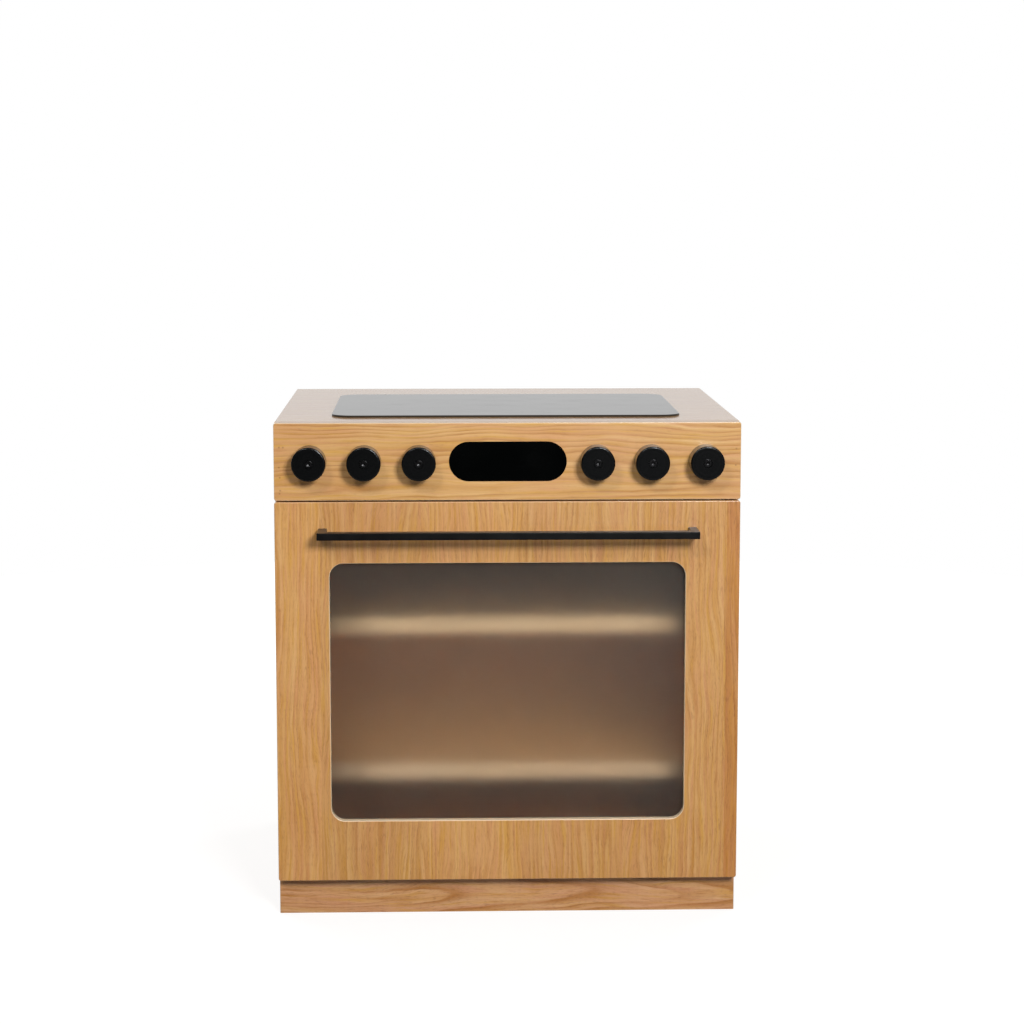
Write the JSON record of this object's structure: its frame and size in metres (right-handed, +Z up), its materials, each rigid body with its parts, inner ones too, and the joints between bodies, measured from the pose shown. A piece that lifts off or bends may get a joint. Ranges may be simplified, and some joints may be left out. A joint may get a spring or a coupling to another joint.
{
  "type": "toy oven",
  "caption": "Freestanding toy oven: veneered cabinet, drop-down door with smoked window, shelves inside, turning knobs, bar handle and flat hob sheet.",
  "frame": {"origin": "on the floor, under the middle of the object's box", "axes": "+Z up, -Y towards the person who plays with it, +X to that person's right"},
  "size_m": [0.48, 0.435, 0.5235],
  "materials": {
    "oak_veneer": "lacquered oak veneer, satin",
    "back_board": "thin veneered board",
    "plain_wood": "plain beech",
    "black_gloss": "polished black acrylic sheet",
    "smoked_acrylic": "satin smoked bronze acrylic",
    "knob_black": "turned, satin black",
    "black_metal": "matt black powder coat",
    "black_steel": "blackened steel",
    "zinc_steel": "zinc plated",
    "black_rubber": "matt rubber",
    "clear_nylon": "natural nylon",
    "ferrite": "ground ferrite",
    "black_felt": "pressed felt"
  },
  "bodies": {
    "cabinet": {"worktop": "oak_veneer", "side_left": "oak_veneer", "side_right": "oak_veneer", "bottom_board": "oak_veneer", "ceiling_board": "oak_veneer", "back_panel": "back_board", "plinth_front": "oak_veneer", "plinth_rear": "oak_veneer", "plinth_left": "oak_veneer", "plinth_right": "oak_veneer", "plinth_blocks": "plain_wood", "control_panel": "oak_veneer", "display_panel": "black_gloss", "hob_plate": "black_gloss", "shelf_lower": "oak_veneer", "shelf_upper": "oak_veneer", "shelf_pins": "clear_nylon", "dowels": "plain_wood", "back_screws": "zinc_steel", "hinge_arm_left": "zinc_steel", "hinge_arm_right": "zinc_steel", "hinge_bushes": "clear_nylon", "hinge_arm_screws": "zinc_steel", "door_stops": "black_rubber", "catch_case": "clear_nylon", "catch_magnet": "ferrite", "catch_screws": "zinc_steel", "knob_bolts": "black_steel", "knob_felts": "black_felt", "knob_washers": "zinc_steel", "knob_nuts": "zinc_steel"},
    "door": {"door_panel": "oak_veneer", "window_pane": "smoked_acrylic", "pane_clips": "clear_nylon", "pane_clip_screws": "zinc_steel", "door_bumpers": "black_rubber", "hinge_pins": "zinc_steel", "strike_plate": "zinc_steel", "strike_screws": "zinc_steel", "door_handle": "black_metal", "handle_screws": "zinc_steel", "handle_washers": "zinc_steel"},
    "knob_1": {"knob_1": "knob_black"},
    "knob_2": {"knob_2": "knob_black"},
    "knob_3": {"knob_3": "knob_black"},
    "knob_4": {"knob_4": "knob_black"},
    "knob_5": {"knob_5": "knob_black"},
    "knob_6": {"knob_6": "knob_black"}
  },
  "joints": [
    {"name": "door_drop", "type": "hinge", "parent": "cabinet", "child": "door", "pos_m": [0, -0.1745, 0.045], "axis": [1, 0, 0], "range_deg": [0, 85]},
    {"name": "knob_1_turn", "type": "hinge", "parent": "cabinet", "child": "knob_1", "pos_m": [-0.2033, -0.1945, 0.4815], "axis": [0, 1, 0], "continuous": true},
    {"name": "knob_2_turn", "type": "hinge", "parent": "cabinet", "child": "knob_2", "pos_m": [-0.1473, -0.1945, 0.4815], "axis": [0, 1, 0], "continuous": true},
    {"name": "knob_3_turn", "type": "hinge", "parent": "cabinet", "child": "knob_3", "pos_m": [-0.0913, -0.1945, 0.4815], "axis": [0, 1, 0], "continuous": true},
    {"name": "knob_4_turn", "type": "hinge", "parent": "cabinet", "child": "knob_4", "pos_m": [0.0913, -0.1945, 0.4815], "axis": [0, 1, 0], "continuous": true},
    {"name": "knob_5_turn", "type": "hinge", "parent": "cabinet", "child": "knob_5", "pos_m": [0.1473, -0.1945, 0.4815], "axis": [0, 1, 0], "continuous": true},
    {"name": "knob_6_turn", "type": "hinge", "parent": "cabinet", "child": "knob_6", "pos_m": [0.2033, -0.1945, 0.4815], "axis": [0, 1, 0], "continuous": true}
  ]
}
